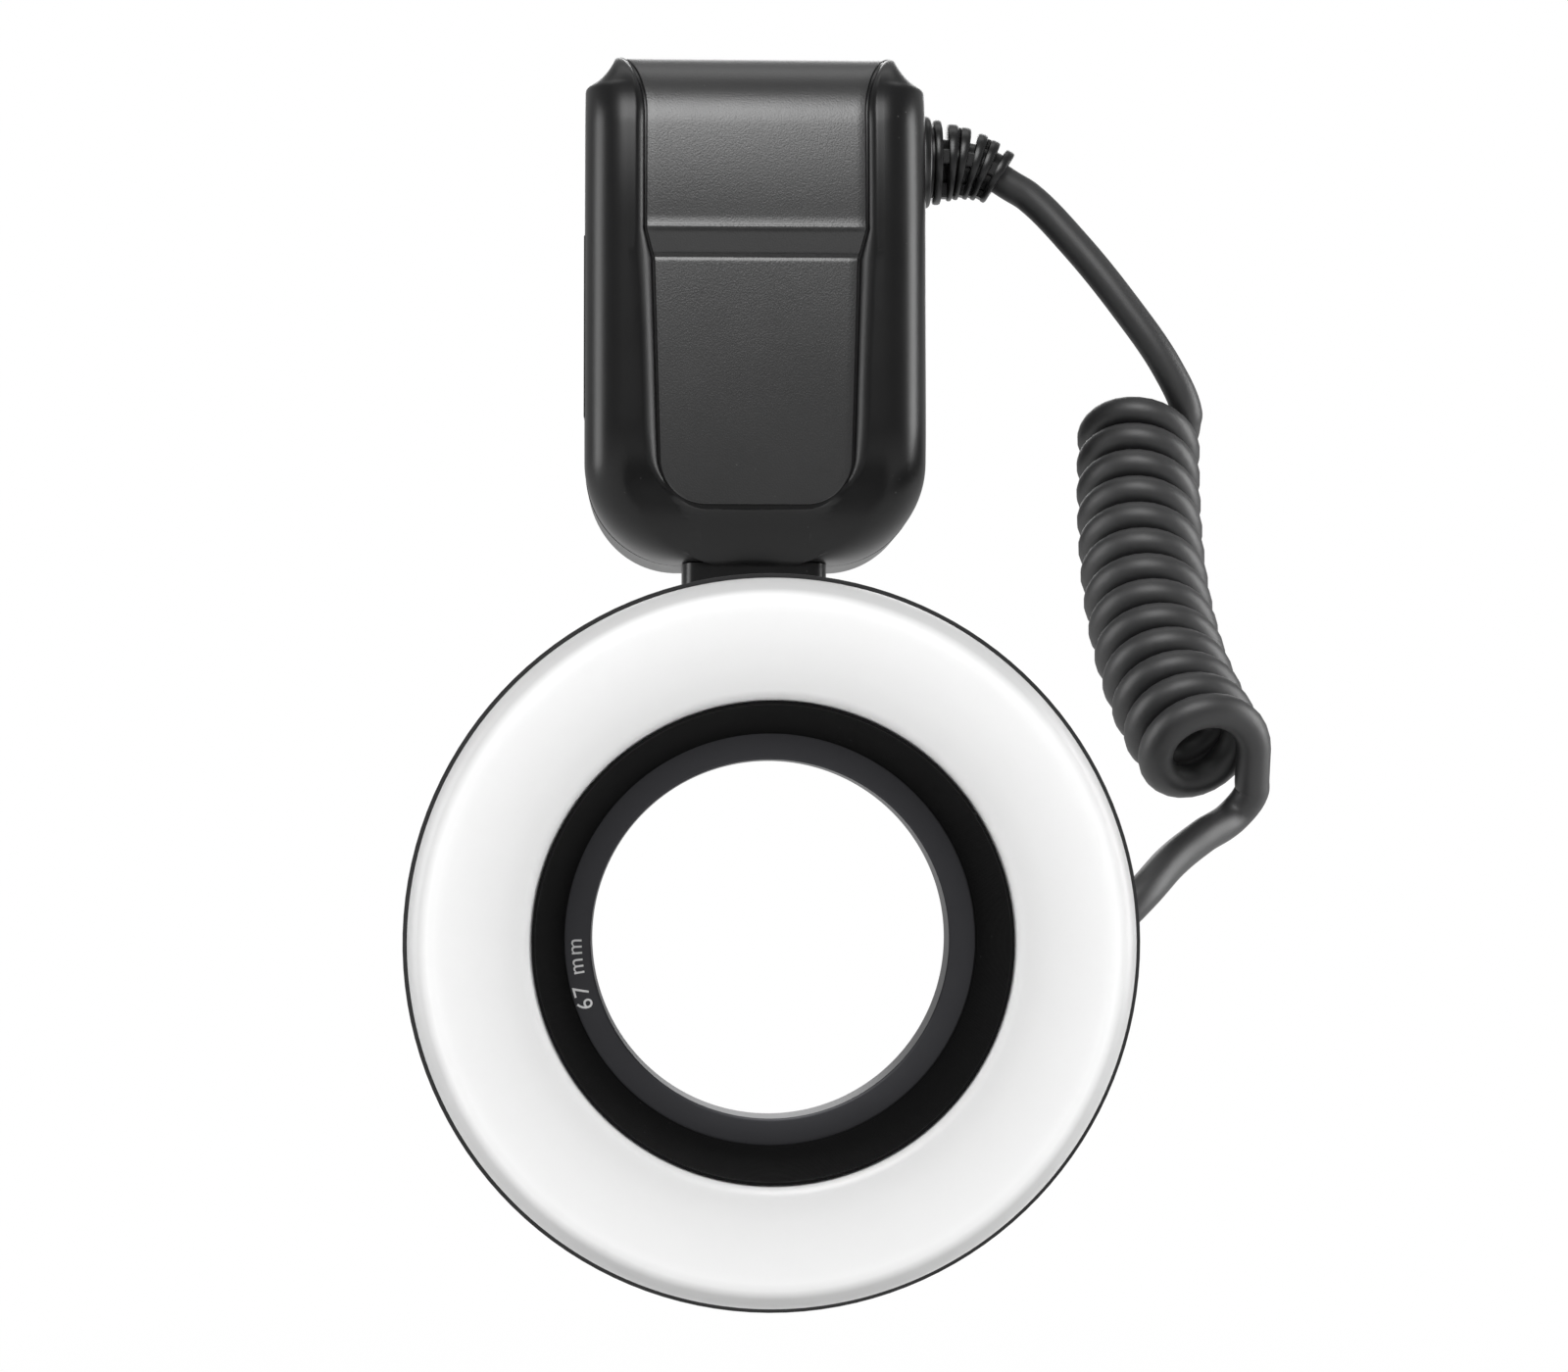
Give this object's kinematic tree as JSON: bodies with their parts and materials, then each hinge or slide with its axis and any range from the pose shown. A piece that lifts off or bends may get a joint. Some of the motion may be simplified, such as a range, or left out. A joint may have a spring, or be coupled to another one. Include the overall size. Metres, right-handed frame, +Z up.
{
  "type": "macro ring flash",
  "caption": "Macro ring flash: a hot-shoe controller with display, keys and battery, joined by a curly cord to a ring-shaped flash head that latches onto a lens adapter ring.",
  "frame": {"origin": "centre of the underside of the controller's hot-shoe foot", "axes": "+Z up, the front of the ring and the controller faces -Y, +X to the right seen from the front"},
  "size_m": [0.1605, 0.1596, 0.2442],
  "materials": {
    "cover_plastic": "satin black moulded plastic",
    "panel_plastic": "fine-grained dark grey plastic",
    "window": "clear tinted window",
    "display": "reflective display glass",
    "board": "green solder resist",
    "sleeve": "shrink sleeve",
    "winding": "ferrite core with a taped winding",
    "steel": "nickel-plated steel",
    "contact": "gold-plated contact",
    "button": "satin black plastic",
    "test_button": "translucent red plastic",
    "switch_cap": "light grey plastic",
    "bay_plastic": "plain black plastic",
    "cord_rubber": "matte dark grey rubber",
    "ring_plastic": "fine-grained black plastic",
    "milky_plastic": "milky translucent white plastic",
    "bright_metal": "bright rolled aluminium",
    "tube_glass": "clear quartz glass",
    "anodised": "satin dark grey anodised"
  },
  "bodies": {
    "flash": {"front_cover": "cover_plastic", "front_panel": "panel_plastic", "rear_cover": "cover_plastic", "lcd_window": "window", "lcd_module": "display", "main_board": "board", "flash_capacitor": "sleeve", "step_up_transformer": "winding", "cover_screws": "steel", "shoe_base": "cover_plastic", "shoe_foot": "steel", "battery_bay": "bay_plastic", "usb_socket": "steel", "sync_socket": "bay_plastic", "upper_relief": "cord_rubber", "cord_upper": "cord_rubber", "cord_coil": "cord_rubber", "cord_lower": "cord_rubber", "lower_relief": "cord_rubber", "ring_housing": "ring_plastic", "diffuser": "milky_plastic", "bore_liner": "ring_plastic", "reflector": "bright_metal", "flash_tube_left": "tube_glass", "flash_tube_right": "tube_glass", "tube_holders": "bay_plastic", "trigger_board": "board", "ring_screws": "steel"},
    "lock_lever": {"lock_lever": "cover_plastic"},
    "lock_pin": {"lock_pin": "steel"},
    "contact_pins": {"contact_pins": "contact"},
    "function_button_1": {"function_button_1": "button"},
    "function_button_2": {"function_button_2": "button"},
    "function_button_3": {"function_button_3": "button"},
    "function_button_4": {"function_button_4": "button"},
    "select_dial": {"select_dial": "button"},
    "set_button": {"set_button": "button"},
    "mode_button": {"mode_button": "button"},
    "sync_button": {"sync_button": "button"},
    "test_button": {"test_button": "test_button"},
    "power_switch": {"power_switch": "switch_cap"},
    "battery": {"battery": "cover_plastic"},
    "battery_release": {"battery_release": "button"},
    "port_cover": {"port_cover": "cover_plastic"},
    "release_latch_left": {"release_latch_left": "button", "latch_button_left": "button"},
    "release_latch_right": {"release_latch_right": "button", "latch_button_right": "button"},
    "adapter_ring": {"adapter_ring": "anodised", "adapter_barrel": "anodised"}
  },
  "joints": [
    {"name": "lock_lever_turn", "type": "hinge", "parent": "flash", "child": "lock_lever", "pos_m": [0, 0, 0.0048], "axis": [0, 0, 1], "range_deg": [0, 60]},
    {"name": "lock_pin_slide", "type": "slide", "parent": "flash", "child": "lock_pin", "axis": [0, 0, -1], "range_m": [0, 0.0014]},
    {"name": "contact_pins_slide", "type": "slide", "parent": "flash", "child": "contact_pins", "axis": [0, 0, 1], "range_m": [0, 0.0005], "stiffness_N_per_m": 1500},
    {"name": "function_button_1_slide", "type": "slide", "parent": "flash", "child": "function_button_1", "axis": [0, -1, 0], "range_m": [0, 0.0006], "stiffness_N_per_m": 1500},
    {"name": "function_button_2_slide", "type": "slide", "parent": "flash", "child": "function_button_2", "axis": [0, -1, 0], "range_m": [0, 0.0006], "stiffness_N_per_m": 1500},
    {"name": "function_button_3_slide", "type": "slide", "parent": "flash", "child": "function_button_3", "axis": [0, -1, 0], "range_m": [0, 0.0006], "stiffness_N_per_m": 1500},
    {"name": "function_button_4_slide", "type": "slide", "parent": "flash", "child": "function_button_4", "axis": [0, -1, 0], "range_m": [0, 0.0006], "stiffness_N_per_m": 1500},
    {"name": "select_dial_turn", "type": "hinge", "parent": "flash", "child": "select_dial", "pos_m": [0, 0.024, 0.0442], "axis": [0, 1, 0], "continuous": true},
    {"name": "set_button_slide", "type": "slide", "parent": "flash", "child": "set_button", "axis": [0, -1, 0], "range_m": [0, 0.0006], "stiffness_N_per_m": 1500},
    {"name": "mode_button_slide", "type": "slide", "parent": "flash", "child": "mode_button", "axis": [0, -1, 0], "range_m": [0, 0.0006], "stiffness_N_per_m": 1500},
    {"name": "sync_button_slide", "type": "slide", "parent": "flash", "child": "sync_button", "axis": [0, -1, 0], "range_m": [0, 0.0006], "stiffness_N_per_m": 1500},
    {"name": "test_button_slide", "type": "slide", "parent": "flash", "child": "test_button", "axis": [0, -1, 0], "range_m": [0, 0.0006], "stiffness_N_per_m": 1500},
    {"name": "power_switch_slide", "type": "slide", "parent": "flash", "child": "power_switch", "axis": [1, 0, 0], "range_m": [0, 0.004]},
    {"name": "battery_slide", "type": "slide", "parent": "flash", "child": "battery", "axis": [-1, 0, 0], "range_m": [0, 0.06]},
    {"name": "battery_release_slide", "type": "slide", "parent": "battery", "child": "battery_release", "axis": [1, 0, 0], "range_m": [0, 0.0015], "stiffness_N_per_m": 800},
    {"name": "port_cover_swing", "type": "hinge", "parent": "flash", "child": "port_cover", "pos_m": [0.0351, 0.0177, 0.0552], "axis": [0, 0, 1], "range_deg": [0, 110]},
    {"name": "release_latch_left_slide", "type": "slide", "parent": "flash", "child": "release_latch_left", "axis": [1, 0, 0], "range_m": [0, 0.0022], "stiffness_N_per_m": 600},
    {"name": "release_latch_right_slide", "type": "slide", "parent": "flash", "child": "release_latch_right", "axis": [-1, 0, 0], "range_m": [0, 0.0022], "stiffness_N_per_m": 600},
    {"name": "adapter_ring_turn", "type": "hinge", "parent": "flash", "child": "adapter_ring", "pos_m": [0, -0.106, -0.062], "axis": [0, 1, 0], "continuous": true}
  ],
  "couplings": [
    {"joint": "lock_pin_slide", "follows": "lock_lever_turn", "m_per_rad": 0.001336}
  ]
}
